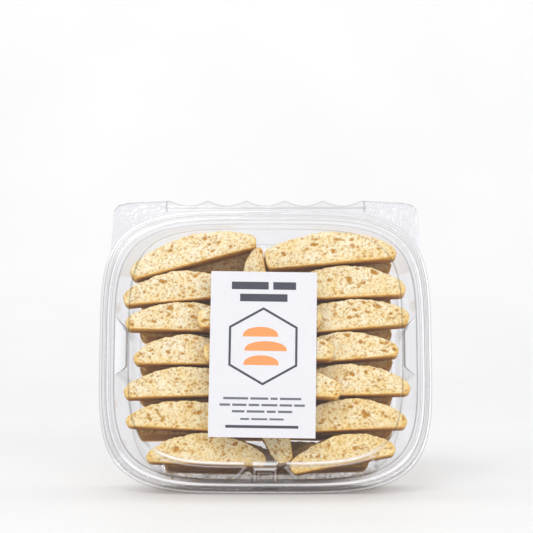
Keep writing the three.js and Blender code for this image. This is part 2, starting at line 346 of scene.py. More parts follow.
def plastic_material():
    """Clear sheet: painted shade in its bends, milky where pebbled, painted highlights along some edges, and
    dusty where crumbs have lain, the dust darkened further as painted shade and reflection.
    """
    n = Nodes("clear_plastic")
    place = n.place()
    facing = n.add("LayerWeight", Blend=0.5).outputs["Facing"]
    tint = n.mix(n.attribute("tone"), n.ramp(n.noise(place, 45, 2), *CLEAR_TINT), TONE_TINT)
    tint = n.mix(n.math("POWER", facing, EDGE_POWER), tint, EDGE_TINT)
    # Painted shade at the bends
    tint = n.mix(n.attribute("bend"), tint, BEND_SHADE_TINT)
    clear = n.add("BsdfTransparent")
    n.link(tint, clear.inputs["Color"])
    haze_and_highlight = n.add("BsdfDiffuse")
    # Dust, darkened also as painted shade and reflection
    brown = n.math("MULTIPLY", n.attribute("dust_and_shade"), DUST_AND_SHADE_STRENGTH, True)
    dust_and_shade = n.ramp(n.noise(place, *DUST_AND_SHADE_GRAIN), *DUST_AND_SHADE_COLOUR)
    n.link(n.mix(brown, HAZE_AND_HIGHLIGHT_COLOUR, dust_and_shade), haze_and_highlight.inputs["Color"])
    patchy = n.above(n.noise(place, *DUST_AND_SHADE_PATCHES), *DUST_AND_SHADE_START)
    dusty_shade = n.math("MULTIPLY", n.attribute("dust_and_shade"), patchy)
    # Milky haze, painted highlights and the dust turn the clear sheet diffuse
    body = n.blend(n.math("MAXIMUM", n.attribute("haze_and_highlight"), dusty_shade), clear, haze_and_highlight)
    gloss = n.add("BsdfGlossy", Roughness=0.09)
    gloss.inputs["Color"].default_value = GLOSS_COLOUR
    n.link(n.bump(n.noise(place, 60, 2), 0.25, 0.001), gloss.inputs["Normal"])
    shine = n.math("MULTIPLY", n.math("POWER", facing, GLOSS_POWER), GLOSS_SHARE)
    return n.finish(n.blend(n.math("ADD", shine, GLOSS_LEAST), body, gloss))


def paper_material():
    n = Nodes("label_paper")
    fibre = n.noise(n.place(), 900, 4, 0.7)
    colour = n.ramp(fibre, (0.3, rgb(216, 216, 221)), (0.7, rgb(223, 223, 227)))
    return n.finish(n.matt(colour, 0.6, n.bump(fibre, 0.08, 0.0002)))


def ink_material(name, colour):
    """Printing ink, with a faint grain that is a little lighter than the colour."""
    n = Nodes(name)
    light = tuple(min(1, channel * 1.18 + 0.01) for channel in colour)
    tone = n.ramp(n.noise(n.place(), 1500, 3, 0.6), (0.35, colour), (0.75, light))
    return n.finish(n.matt(tone, 0.5))


def stage_material(name, low, high, roughness):
    n = Nodes(name)
    tone = n.ramp(n.noise(n.place(), 3, 2), (0.3, low), (0.7, high))
    return n.finish(n.matt(tone, roughness))


BISCUIT = biscuit_material()
PLASTIC = plastic_material()
PAPER = paper_material()


# Biscotti: each CAD slice gives the outline, and a fine mesh with pores stands for it

EDGE_RADIUS = 0.5
EDGE_MARGIN = 0.8  # how far in a cut face ends, as a share of the edge's radius
BELT_DEPTHS = (0.12, 0.5, 1.2, 2.2, 3.6, 6.45, 9.3, 11.3, 12.4, 12.78)
SHADE_DEPTH = (0.8, 7.0)  # light fades from the first depth to the second
FACE_SHADE = 0.85  # how dark the hidden cut faces are
BOTTOM_SHADE = 0.9
DOME_SHADE = 0.6
TIP_LIGHT = 0.6  # how much of the shade the tips lose
PIT_REACH = (0.2, 3.0)  # depths at which a CAD slice's points belong to a pit
PIT_SPREAD = 4.0
PIT_WIDTH = 1.35  # a pit's radius, as a share of its depth
SAME_PLACE = 0.05
crust_noise = Noise(11)
crumb_noise = Noise(12)


def slice_outline(name):
    """The slice's local frame and its outline: origin, along, up, tips and dome, in pack millimetres."""
    points = to_pack(node_points(name))
    face_y = points[:, 1].min()
    ring = points[np.abs(points[:, 1] - face_y - SLICE_THICKNESS / 2) < SAME_PLACE][:, [0, 2]]
    ring = np.unique(ring.round(2), axis=0)
    middle = ring.mean(0)
    ring = ring[np.argsort(np.arctan2(ring[:, 1] - middle[1], ring[:, 0] - middle[0]))]
    edges = np.roll(ring, -1, axis=0) - ring
    first = int(np.argmax(np.hypot(edges[:, 0], edges[:, 1])))
    start, end = ring[first], ring[(first + 1) % len(ring)]
    along = (end - start) / np.linalg.norm(end - start)
    up = np.array([-along[1], along[0]])
    origin = (start + end) / 2
    local = np.stack([(ring - origin) @ along, (ring - origin) @ up], 1)
    half = (local[:, 0].max() - local[:, 0].min()) / 2
    shift = (local[:, 0].max() + local[:, 0].min()) / 2
    origin = origin + along * shift
    local[:, 0] -= shift
    left = local[np.argmin(local[:, 0])]
    right = local[np.argmax(local[:, 0])]
    line = left[1] + (local[:, 0] - left[0]) / (2 * half) * (right[1] - left[1])
    dome = local[local[:, 1] >= line - 0.01]
    dome = dome[np.argsort(dome[:, 0])]
    nose = half - abs((end - start) @ along) / 2
    return face_y, origin, along, up, half, nose, left[1], right[1], dome


def spline(knots, x):
    """A smooth curve through sorted knots."""
    kx, kz = knots[:, 0], knots[:, 1]
    slope = np.gradient(kz, kx)
    i = np.clip(np.searchsorted(kx, x) - 1, 0, len(kx) - 2)
    width = kx[i + 1] - kx[i]
    t = np.clip((x - kx[i]) / width, 0, 1)
    a = (1 + 2 * t) * (1 - t) ** 2 * kz[i] + t * (1 - t) ** 2 * width * slope[i]
    return a + t * t * (3 - 2 * t) * kz[i + 1] + t * t * (t - 1) * width * slope[i + 1]


ROUGH_STEP = 0.4
ROUGHNESS = ((0.5, 3.4), (0.4, 1.3), (0.26, 0.8))  # depth and size of the dents in the crust's edge


def rough_dome(dome, half, seed):
    """The dome's outline with small dents, never above the CAD's."""
    x = np.arange(-half, half, ROUGH_STEP)
    dents = 0
    for depth, size in ROUGHNESS:
        dents = dents + depth * np.abs(crust_noise(x, seed * 4.3, depth, size))
    inner = smooth(0, 2, half - np.abs(x))
    knots = np.stack([x, spline(dome, x) - dents * inner], 1)
    return np.concatenate([knots, dome[-1:]])


def outline_at(x, half, nose, left, right, dome):
    """Bottom and top of the slice at x."""
    end = np.where(x < 0, left, right)
    into = np.clip((np.abs(x) - (half - nose)) / nose, 0, 1)
    bottom = end * (1 - np.sqrt(1 - into ** 2))
    return bottom, np.maximum(spline(dome, x), bottom)


def large_pores(name, face_y, origin, along, up):
    """The pits that the CAD slice has in its front face: local middle and radius."""
    points = to_pack(node_points(name))
    least, most = PIT_REACH
    deep = points[(points[:, 1] > face_y + least) & (points[:, 1] < face_y + most)]
    deep = np.unique(deep.round(2), axis=0)
    found = []
    while len(deep):
        near = np.hypot(deep[:, 0] - deep[0, 0], deep[:, 2] - deep[0, 2]) < PIT_SPREAD
        cluster = deep[near]
        deep = deep[~near]
        middle = cluster[:, [0, 2]].mean(0) - origin
        radius = PIT_WIDTH * (cluster[:, 1].max() - face_y)
        found.append((middle @ along, middle @ up, radius))
    return found


SMALL_PORES = ((22, 0.6, 1.2), (120, 0.32, 0.6))  # how many, least and most radius
PORE_TILT = 0.6
PORE_STRETCH = (1.0, 1.6)
PORE_FLATNESS = 0.85
PORE_RAGGEDNESS = 0.9
PORE_CURVE = 0.7
PORE_REACH = 2.4  # how many radii away a pore is worked out
PORE_DEPTH = 0.75  # as a share of the radius
DEEPEST_PORE = 1.6


def all_pores(pores, half, height, random):
    """The given pores and the small ones, strewn over the face."""
    every_pore = list(pores)
    for count, low, high in SMALL_PORES:
        for _ in range(count):
            place = random.uniform(-0.95, 0.95) * half, random.uniform(0.05, 0.95) * height
            every_pore.append((*place, random.uniform(low, high)))
    return every_pore


def pore_depth(x, z, half, height, pores, random):
    """How deep the face is pitted at each point, and how much of a pore each point is."""
    depth = np.zeros_like(x)
    share = np.zeros_like(x)
    warp = 0.6 * crumb_noise(x, z, 3.0, 1.0) + 0.6 * crumb_noise(x, z, 5.0, 2.1)
    for px, pz, radius in all_pores(pores, half, height, random):
        angle = random.uniform(-PORE_TILT, PORE_TILT)
        stretch = random.uniform(*PORE_STRETCH)
        reach = PORE_REACH * radius
        near = (np.abs(x - px) < reach) & (np.abs(z - pz) < reach)
        if not near.any():
            continue
        dx, dz = x[near] - px, z[near] - pz
        a = (dx * math.cos(angle) + dz * math.sin(angle)) / (radius * stretch)
        b = (-dx * math.sin(angle) + dz * math.cos(angle)) / (radius * PORE_FLATNESS)
        bowl = np.clip(1 - a * a - b * b + PORE_RAGGEDNESS * warp[near], 0, 1) ** PORE_CURVE
        depth[near] = np.maximum(depth[near], bowl * min(radius * PORE_DEPTH, DEEPEST_PORE))
        share[near] = np.maximum(share[near], bowl * min(1, 0.5 + radius * 0.3))
    return depth, share


def edge_inset(depth):
    """How far the crust rounds in at a depth from the front face."""
    near = np.minimum(depth, SLICE_THICKNESS - depth)
    step = np.clip(EDGE_RADIUS - near, 0, EDGE_RADIUS)
    return EDGE_RADIUS - np.sqrt(EDGE_RADIUS ** 2 - step ** 2)


def pile_shade(depth, lit_front, lit_back):
    """How dark it is at a depth between the slices: light comes in at the lit faces only."""
    dark = np.full_like(depth, SHADE_DEPTH[1])
    from_front = depth if lit_front else dark
    from_back = SLICE_THICKNESS - depth if lit_back else dark
    return smooth(*SHADE_DEPTH, np.minimum(from_front, from_back))


# Relief of a cut face: height and size of the broad waves and of the fine grain
FACE_WAVE = (0.3, 9.0)
FACE_GRAIN = (0.09, 0.8)
KEPT_EDGE = (0.4, 1.2)  # pores fade out from the second distance from the edge to the first
FLAT_EDGE = 2.0  # the relief fades out over this distance
TIP_SPAN = (0.8, 1.0)  # where the tips begin and end, as a share of half the length
CRUST_WIDTH = (0.15, 0.75, 1.1)  # least, most, and how much wider it is at the tips
DOME_PALENESS = 0.75  # how much of its crust the cut face loses along the dome
LOW_EDGE = (0.3, 3.4)
UNDER_HEIGHT = 0.22  # up to this share of the height, the crust is the bottom's


def face_relief(x, z, gap, depth, seed):
    """Waves and grain of a cut face, which fade out at its edge."""
    (wave, wave_size), (grain, grain_size) = FACE_WAVE, FACE_GRAIN
    relief = wave * crumb_noise(x + seed * 7.3, z, depth, wave_size)
    relief = relief + grain * crumb_noise(x + seed * 5.1, z, depth, grain_size)
    return relief * smooth(0, FLAT_EDGE, gap)


def face_crust(x, z, gap, rows, tip, depth, seed):
    """How much each point of a cut face is crust: wider at the tips, and faint along the dome."""
    least, most, wider = CRUST_WIDTH
    above = smooth(0.3, 0.7, rows) * np.ones_like(x)
    reach = gap + 0.35 * crust_noise(x, z, seed * 3.7 + depth, 2.2) + 0.35 * above
    return (1 - smooth(least, most + wider * tip, reach)) * (1 - DOME_PALENESS * above * (1 - tip))


def face_toast(x, z, low, tip, seed, browning):
    """How browned the crumb is: most at the tips and along the bottom."""
    from_bottom = z - low[:, None] + 0.8 * crust_noise(x, z, seed * 2.9, 3.5)
    low_edge = 1 - smooth(*LOW_EDGE, from_bottom)
    patches = 0.25 * crust_noise(x, z, seed * 1.9, 6.0)
    return np.clip(browning + 0.5 * low_edge + 0.6 * tip + patches, 0, 1)


def cut_face(shape, xs, rows, depth, pores, random, seed, browning):
    """Points and looks of one cut face, as (x, depth, z) in the slice's own frame."""
    half, height = shape[0], shape[4][:, 1].max()
    margin = EDGE_MARGIN * EDGE_RADIUS
    line = xs * (half - EDGE_RADIUS) / half
    low, high = outline_at(line, *shape)
    x = line[:, None] * np.ones_like(rows)
    z = (low + margin)[:, None] + (high - low - 2 * margin).clip(0.05)[:, None] * rows
    gap = np.minimum(np.minimum(z - low[:, None], high[:, None] - z), (half - np.abs(x)) * 0.8)
    dent, pore = np.zeros_like(x), np.zeros_like(x)
    if pores is not None:
        dent, pore = pore_depth(x, z, half, height, pores, random)
    keep = smooth(*KEPT_EDGE, gap)
    dent = dent * keep + face_relief(x, z, gap, depth, seed)
    tip = smooth(*TIP_SPAN, np.abs(x) / half)
    y = dent if depth == 0 else depth - dent
    looks = {
        "pore": pore * keep,
        "crust": face_crust(x, z, gap, rows, tip, depth, seed),
        "under": 1 - smooth(0, height * UNDER_HEIGHT, z),
        "toast": face_toast(x, z, low, tip, seed, browning),
    }
    return np.stack([x, y, z], 2), looks


# Bottom and dome between the cut faces: roughness, and how much is the bottom's crust
BELT_ROUGHNESS = (-0.07, 0.3)
BELT_UNDER = (1.0, 0.0)
TIP_UNDER = 0.35


def crust_belt(shape, xs, seed):
    """Points of the flat bottom and of the dome between both cut faces."""
    half, nose = shape[:2]
    depths = np.array(BELT_DEPTHS)
    inset = edge_inset(depths)
    x = xs[:, None] * (half - inset) / half
    low, high = outline_at(x, *shape)
    low = low + inset
    high = np.maximum(high - inset, low + 0.02)
    y = depths * np.ones_like(x)
    belts = []
    for z, height, under in zip((low, high), BELT_ROUGHNESS, BELT_UNDER):
        coarse = crust_noise(x, y, seed * 3.1 + z * 0.2, 3.1)
        fine = crust_noise(x, y, seed * 2.3, 1.1)
        under = np.where(np.abs(x) < half - nose, under, TIP_UNDER)
        belts.append((np.stack([x, y, z + height * (coarse + 0.6 * fine)], 2), under))
    return belts


def slice_columns(half, step):
    """Places along the slice, from -half to half and closer together at the tips."""
    share = np.linspace(-1, 1, max(24, int(2 * half / step)) + 1)
    return half * (0.72 * share + 0.28 * np.sin(share * math.pi / 2))


def number_grids(grids):
    """Point numbers of the four grids, with the points that meet at the tips made one."""
    index, first = [], 0
    for grid in grids:
        index.append(np.arange(grid[..., 0].size).reshape(grid.shape[:2]) + first)
        first += grid[..., 0].size
    for tip in (0, -1):
        for numbers in index[:2]:
            numbers[tip, :] = numbers[tip, 0]
        index[3][tip] = index[2][tip]
    return index


def slice_looks(front, back, bottom, dome, half, lit_front, lit_back):
    """Looks of all points, from (grid, looks) of both faces and (grid, under) of the belts."""
    for (grid, looks), depth in ((front, 0.0), (back, SLICE_THICKNESS)):
        depths = np.full_like(grid[..., 0], depth)
        looks["shade"] = FACE_SHADE * pile_shade(depths, lit_front, lit_back)
    belt, bottom_under = bottom
    belt_shade = pile_shade(belt[..., 1], lit_front, lit_back)
    belt_shade = belt_shade * (1 - TIP_LIGHT * smooth(0.86, 1.0, np.abs(belt[..., 0]) / half))
    plain = np.zeros_like(bottom_under)
    belts = {
        "crust": (plain + 1, plain + 1),
        "under": (bottom_under, dome[1]),
        "shade": (BOTTOM_SHADE * belt_shade, DOME_SHADE * belt_shade),
    }
    joined = {}
    for key in front[1]:
        parts = (front[1][key], back[1][key], *belts.get(key, (plain, plain)))
        joined[key] = np.concatenate([part.ravel() for part in parts])
    return joined


def build_slice(name, seed, step, lit_front, lit_back, browning):
    face_y, origin, along, up, *shape = slice_outline(name)
    random = np.random.RandomState(seed)
    half, height = shape[0], shape[4][:, 1].max()
    shape[4] = rough_dome(shape[4], half, seed)
    xs = slice_columns(half, step)
    rows = np.linspace(0, 1, max(8, int(height / step)) + 1)
    pits = large_pores(name, face_y, origin, along, up)
    front = cut_face(shape, xs, rows, 0.0, pits, random, seed, browning)
    back_pits = [] if lit_back else None
    back = cut_face(shape, xs, rows, SLICE_THICKNESS, back_pits, random, seed, browning)
    bottom, dome = crust_belt(shape, xs, seed)
    grids = [grid for grid, _ in (front, back, bottom, dome)]
    looks = slice_looks(front, back, bottom, dome, half, lit_front, lit_back)
    used, faces = np.unique(slice_triangles(*number_grids(grids)), return_inverse=True)
    local = np.concatenate([grid.reshape(-1, 3) for grid in grids])[used]
    flat = origin + local[:, [0]] * along + local[:, [2]] * up
    pack = np.stack([flat[:, 0], face_y + local[:, 1], flat[:, 1]], 1)
    looks = {key: values[used] for key, values in looks.items()}
    piece = mesh_object(name + "_baked", to_row(pack), faces.reshape(-1, 3).tolist(), BISCUIT, looks)
    return dress(piece, "biscuit", name)


def slice_triangles(front, back, bottom, dome):
    """Triangles of the whole surface, without those that close to a line at the tips."""
    bottom = np.concatenate([front[:, :1], bottom, back[:, :1]], 1)
    dome = np.concatenate([front[:, -1:], dome, back[:, -1:]], 1)
    triangles = []
    for grid in (front, back[:, ::-1], bottom[:, ::-1], dome):
        a, b = grid[:-1, :-1].ravel(), grid[1:, :-1].ravel()
        c, d = grid[1:, 1:].ravel(), grid[:-1, 1:].ravel()
        triangles += [np.stack([a, b, c], 1), np.stack([a, c, d], 1)]
    stacked = np.concatenate(triangles)
    a, b, c = stacked.T
    return stacked[(a != b) & (b != c) & (a != c)]


FINE_STEP = 0.42
MEDIUM_STEP = 0.6
COARSE_STEP = 1.3
ROWS = 7
ROW_BROWNING = 0.45  # how much browner the lowest row is than the top one
RIGHT_BROWNING = 0.12


def build_biscotti():
    """One fine mesh for each CAD slice; its seed is its place in the sorted names."""
    names = [node for node in sorted(frame["nodes"]) if node.startswith("biscotto_")]
    for seed, name in enumerate(names, 1):
        in_front = any(word in name for word in ("front", "upright", "centre"))
        at_back = "_back_" in name
        step = FINE_STEP if in_front else MEDIUM_STEP if at_back else COARSE_STEP
        in_column = "left" in name or "right" in name
        row_share = (int(name.rsplit("_", 1)[1]) - 1) / (ROWS - 1) if in_column else 0.5
        browning = ROW_BROWNING * row_share ** 2 + (RIGHT_BROWNING if "right" in name else 0)
        build_slice(name, seed, step, in_front, at_back, browning)


build_biscotti()


# Clear plastic: rings of the rim's rounded outline, followed from the edge inwards

LID_FLANGE_Y = -0.95
TRAY_FLANGE_Y = 0.15
FLOOR_Y = BASE_DEPTH - 0.8  # the middle of the floor is stepped in
LOWER_Z = -50.0  # the lid's lower wall lies below this height
FINE_ANGLES = (-130, -50, 0.25)  # along the bottom, where the latch is
COARSE_ANGLES = (-50, 230, 1.25)
POCKETS = ((-59.4, -9.2), (9.0, 62.6))
POCKET_FLARE = 8.0  # how far the pockets' inner ends slant away from the latch
LATCH = (-7.6, 7.0)
HINGE_FREE = (10.0, 13.0)  # the ridges stop at the middle of the top edge
GLEAM_TOP = (-65.0, -54.0)  # the lower edges gleam below this height
GLEAM_GAP = (-11.5, 11.5)  # the front's edge doesn't gleam here, but the latch does
GAP_DIMMING = 0.85
LATCH_GLEAM = (17.4, 1.4, 0.8)  # inset, width and brightness
SOFT_END = 0.8
PALE_TOP = (40.0, 68.0)  # the sheets are clearer and their lines fainter above this height
PALE_BEND_SHADE = 0.45
PALE_TONE = 0.8
LEAST_MILK = 0.01
# Where the dust lies; its dark brown also stands for painted shade and reflection
DUST_AND_SHADE_COVER = 0.85
DUST_AND_SHADE_TOP = (-60.0, -66.0)
DUST_AND_SHADE_ENDS = (56, 74)
DUST_AND_SHADE_FRONT = (1, 4)


def ring_angles():
    return np.concatenate([np.radians(np.arange(*span)) for span in (FINE_ANGLES, COARSE_ANGLES)])


ANGLES = ring_angles()


def ring(half_x, half_z):
    across = np.abs(np.cos(ANGLES) / half_x) ** SQUARENESS
    upward = np.abs(np.sin(ANGLES) / half_z) ** SQUARENESS
    radius = (across + upward) ** (-1 / SQUARENESS)
    return radius * np.cos(ANGLES), radius * np.sin(ANGLES)


def hump(value, middle, width):
    """A soft hump of height 1."""
    return np.exp(-((value - middle) / width) ** 2)


def dust_and_shade_share(points):
    """Crumb dust lies on the tray's lowest wall and in the corner behind it; its dark brown is also painted
    shade and reflection.
    """
    inside = smooth(*DUST_AND_SHADE_FRONT, points[:, 1]) * (1 - smooth(*DUST_AND_SHADE_ENDS, np.abs(points[:, 0])))
    return DUST_AND_SHADE_COVER * inside * smooth(*DUST_AND_SHADE_TOP, points[:, 2])


def ring_gleam(inset, depth, x, z, gleams):
    """How brightly each point of a ring gleams; the front's edge stops beside the latch."""
    gleam = sum(bright * hump(inset, place, wide) for place, wide, bright in gleams)
    gleam = (1 - smooth(*GLEAM_TOP, z)) * gleam
    if depth > 1 - LID_DEPTH:
        return gleam
    start, end = GLEAM_GAP
    gap = smooth(start - SOFT_END, start, x) * (1 - smooth(end, end + SOFT_END, x))
    left, right = LATCH
    latch = smooth(left, left + SOFT_END, x) * (1 - smooth(right - SOFT_END, right, x))
    place, wide, bright = LATCH_GLEAM
    top = bright * latch * hump(inset, place, wide) * (z < LOWER_Z)
    return np.maximum(gleam * (1 - GAP_DIMMING * gap), top)


def ring_faces(rings, count):
    """Faces between neighbouring rings, and a fan from the last ring to the middle point."""
    last = (rings - 1) * count
    faces = []
    for a in range(0, last, count):
        b = a + count
        faces += [(a + i, a + (i + 1) % count, b + (i + 1) % count, b + i) for i in range(count)]
    return faces + [(last + i, last + (i + 1) % count, rings * count) for i in range(count)]


def sheet_from_rings(name, profile, shape, node, tone, gleams):
    """A sheet through rings at (inset across, inset upwards, depth, painted shade at the bend), closed in the
    middle.
    """
    count = len(ANGLES)
    points = []
    looks = {"bend": [], "haze_and_highlight": [], "dust_and_shade": [], "tone": []}
    for inset_x, inset_z, depth, bend in profile:
        x, z = ring(RIM_HALF[0] - inset_x, RIM_HALF[1] - inset_z)
        flat = np.stack([x, np.full(count, float(depth)), z], 1)
        shaped, pressed_shade, lit = shape(flat)
        points.append(shaped)
        gleam = np.maximum(ring_gleam(inset_x, depth, x, z, gleams), lit)
        pale = smooth(*PALE_TOP, z)
        # Painted shade along the bends and pressed edges, lifted where a painted highlight lies
        dark = np.maximum(bend, pressed_shade) * (1 - np.minimum(1, 1.4 * gleam))
        looks["bend"].append(dark * (1 - PALE_BEND_SHADE * pale))
        # Painted highlights (the gleams) go in with the plastic's milky haze
        looks["haze_and_highlight"].append(LEAST_MILK + gleam)
        # Dust, darkened also as painted shade and reflection
        looks["dust_and_shade"].append(dust_and_shade_share(shaped))
        looks["tone"].append(tone * (1 - PALE_TONE * pale))
    stacked = np.concatenate(points + [points[-1].mean(0)[None]])
    stacked[:, 2] += CENTRE_Z
    middle = {"bend": 0, "haze_and_highlight": LEAST_MILK, "dust_and_shade": 0, "tone": tone}
    looks = {key: np.append(np.concatenate(values), middle[key]) for key, values in looks.items()}
    faces = ring_faces(len(profile), count)
    return dress(mesh_object(name, to_row(stacked), faces, PLASTIC, looks), "clear_plastic", node)


def along_profile(start, end, steps):
    """Points evenly along a straight stretch, with no bend."""
    return [tuple(a + (b - a) * i / steps for a, b in zip(start, end)) for i in range(steps + 1)]


BEAD = (  # step inwards, share of the height, share of the painted shade
    (0, 0, 0), (0.2, 0.1, 1), (0.5, 0.7, 0.7), (0.7, 0.9, 0), (1.1, 1, 0),
    (1.6, 0.8, 0), (1.8, 0.5, 0.7), (2.05, 0.1, 0.7), (2.2, 0, 0),
)


def bead(inset, rise, depth, darkness):
    """A round ridge that runs along the flange."""
    return [(inset + step, inset + step, depth + rise * share, darkness * dark) for step, share, dark in BEAD]


def step_edge(low, high, value):
    """A smooth step, and the thin painted shade and painted highlight lines beside its foot and its top."""
    linear = (value - low) / (high - low)
    return smooth(low, high, value), hump(linear, 0.1, 0.24), hump(linear, 0.8, 0.24)


# Pressed into the lid's lower wall: left and right end, slope of the ends, depth, span up the wall as
# (foot, foot's inner edge, top's inner edge, top), and how much the left and the right end flare
WALL_FOOT = 3.0
POCKET_SPAN = (-0.02, 0.2, 0.7, 0.92)
PRESSED = (
    (*POCKETS[0], 2.6, 1.2, POCKET_SPAN, 0, 1),
    (*POCKETS[1], 2.6, 1.2, POCKET_SPAN, 1, 0),
    (*LATCH, 1.8, -1.5, (-0.12, 0.1, 0.74, 0.98), 0, 0),
    (LATCH[0] + 2.6, LATCH[1] - 2.6, 1.2, 0.7, (0.08, 0.2, 0.5, 0.62), 0, 0),
)
PRESS_DIRECTION = (0.5, 0.85)  # share of the depth backwards and upwards
END_SHADING = (0.7, 0.35)  # painted shade and painted highlight of the lines at the ends
# Painted shade and painted highlight of the lines along the foot and the top
FOOT_SHADING = (0.6, 0.08)
TOP_SHADING = (0.4, 0.7)


def lid_shape(points):
    """Presses the two long pockets and the latch button into the lid's lower wall, and gives the painted
    shade and painted highlight lines along their edges.
    """
    x, y, z = points[:, 0], points[:, 1], points[:, 2]
    along = (-y - WALL_FOOT) / (LID_DEPTH - WALL_FOOT)
    flare = POCKET_FLARE * (1 - np.clip(along, 0, 1)) ** 2
    push, dark, lit = (np.zeros(len(points)) for _ in range(3))
    for left, right, slope, depth, (foot, foot_in, top_in, top), flare_left, flare_right in PRESSED:
        left = left + flare_left * flare
        right = right - flare_right * flare
        begin, begin_dark, begin_lit = step_edge(left, left + slope, x)
        end, end_dark, end_lit = step_edge(right, right - slope, x)
        rise, rise_dark, rise_lit = step_edge(foot, foot_in, along)
        fall, fall_dark, fall_lit = step_edge(top, top_in, along)
        across, upward = begin * end, rise * fall
        push += depth * across * upward
        within = smooth(left - 1, left, x) * (1 - smooth(right, right + 1, x))
        # Painted shade beside the pressed edges
        ends = END_SHADING[0] * np.maximum(begin_dark, end_dark) * upward
        sides = (FOOT_SHADING[0] * rise_dark + TOP_SHADING[0] * fall_dark) * within
        dark = np.maximum(dark, np.maximum(ends, sides))
        # Painted highlights beside the pressed edges
        ends = END_SHADING[1] * np.maximum(begin_lit, end_lit) * upward
        sides = (FOOT_SHADING[1] * rise_lit + TOP_SHADING[1] * fall_lit) * across
        lit = np.maximum(lit, np.maximum(ends, sides))
    lower = (z < LOWER_Z) & (y < LID_FLANGE_Y)
    out = points.copy()
    out[:, 1] += np.where(lower, push * PRESS_DIRECTION[0], 0)
    out[:, 2] += np.where(lower, push * PRESS_DIRECTION[1], 0)
    ridges = (z > 60) & (y > -2) & (y < LID_FLANGE_Y)
    free = 1 - smooth(*HINGE_FREE, np.abs(x))
    out[:, 1] = np.where(ridges, y + (LID_FLANGE_Y - y) * free, out[:, 1])
    return out, np.where(lower, dark, 0), np.where(lower, lit, 0)


# Rings of the recesses' ledge: depth, distance from the recess's wall, painted shade
LEDGE_RINGS = ((0.72, 1.3, 0.0), (0.76, 0.9, 1.0), (0.8, 0.0, 1.0))
WALL_TOP_Y = 0.7
LEDGE_SHADE = 1.6  # painted shade along the recesses' slanted ends


def tray_shape(points):
    """Steps the tray's side walls in at the finger recesses, under a flat ledge, with painted shade along the
    ledge and the slanted ends.
    """
    low, low_in, high_in, high = RECESS_SPAN
    x, y, z = points[:, 0], points[:, 1], points[:, 2]
    wall = (y > WALL_TOP_Y) & (np.abs(x) < MOUTH_HALF[0] + 0.1)
    stepped = smooth(low, low_in, z) * (1 - smooth(high_in, high, z))
    limit = MOUTH_HALF[0] - (MOUTH_HALF[0] - RECESS_X) * stepped
    side = wall & (np.abs(x) > RECESS_X)
    below_ledge = side & (y > LEDGE_RINGS[-1][0] + 0.1)
    # Painted shade along the recesses' slanted ends and on the ledge rings
    dark = np.where(below_ledge, LEDGE_SHADE * stepped * (1 - stepped), 0)
    for depth, away, darkness in LEDGE_RINGS:
        on_ring = side & (np.abs(y - depth) < 0.02)
        limit = limit + np.where(on_ring, away * stepped, 0)
        dark = np.where(on_ring, darkness * smooth(0, 0.05, stepped), dark)
    out = points.copy()
    out[:, 0] = np.where(wall, np.clip(x, -limit, limit), x)
    return out, dark, np.zeros(len(points))


def lid_profile():
    """From the flange's edge over two ridges and up the sloped wall to the flat front."""
    y, front_y = LID_FLANGE_Y, -LID_DEPTH
    edge = [(0, 0, y + 0.65, 0.7), (0.12, 0.12, y + 0.2, 0.4), (0.5, 0.5, y, 0)]
    ridges = bead(1.3, -0.7, y, 0.7) + bead(3.65, -0.7, y, 0.6)
    foot = [(6.1, 5.8, y, 0), (6.45, 6.1, y - 0.15, 0.5), (6.8, 6.4, y - 0.55, 0.1)]
    wall = along_profile((8.05, 7.35, -WALL_FOOT, 0), (16.7, 14.1, front_y + 1.1, 0), 36)
    rounded = [(17.2, 14.5, front_y + 0.5, 0.2), (17.6, 14.85, front_y + 0.15, 0.7),
               (18.1, 15.3, front_y, 0.4), (18.6, 15.8, front_y, 0), (19.1, 16.3, front_y, 0)]
    front = along_profile((19.8, 16.9, front_y, 0), (60, 50, front_y, 0), 4)
    return edge + ridges + foot + wall + rounded + front


def tray_profile():
    """From the turned lip over a ridge and the mouth, down the wall and over the stepped floor."""
    y = TRAY_FLANGE_Y
    lip = [(0, 0, LIP_DEPTH, 0.6), (0.05, 0.05, y + 0.35, 0.3), (0.3, 0.3, y + 0.05, 0.1), (0.8, 0.8, y, 0)]
    mouth = [(7.8, 7.4, y, 0), (8.1, 7.7, y + 0.05, 0.75), (8.5, 8.1, y + 0.2, 0.75), (8.85, 8.45, 0.69, 0)]
    ledge = [(8.86, 8.46, depth, 0) for depth, _, _ in LEDGE_RINGS] + [(8.98, 8.5, 1.5, 0)]
    wall = along_profile((9.3, 8.58, 4, 0), (14.85, 9.95, BASE_DEPTH - FLOOR_CHAMFER, 0), 14)
    foot = [(15.3, 10.4, BASE_DEPTH - 0.3, 0.5), (15.9, 11, BASE_DEPTH, 0.2), (20, 15, BASE_DEPTH, 0)]
    step = [(21, 16, FLOOR_Y, 0.3), (22, 17, FLOOR_Y, 0)]
    floor = along_profile((24, 19, FLOOR_Y, 0), (36, 31, FLOOR_Y, 0), 4) + [(60, 50, FLOOR_Y, 0)]
    return lip + bead(2.0, 0.4, y, 0.5) + mouth + ledge + wall + foot + step + floor


LID_GLEAMS = ((17.9, 0.85, 0.75), (5.0, 0.9, 0.75), (0.6, 0.4, 0.35))  # inset, width and brightness
LID_TONE = 0.35
TRAY_TONE = 0.55
sheet_from_rings("clear_lid", lid_profile(), lid_shape, "lid", LID_TONE, LID_GLEAMS)
sheet_from_rings("clear_tray", tray_profile(), tray_shape, "base_tray", TRAY_TONE, ())


# Hinge strip: scalloped between two square ears, pebbled at the ears

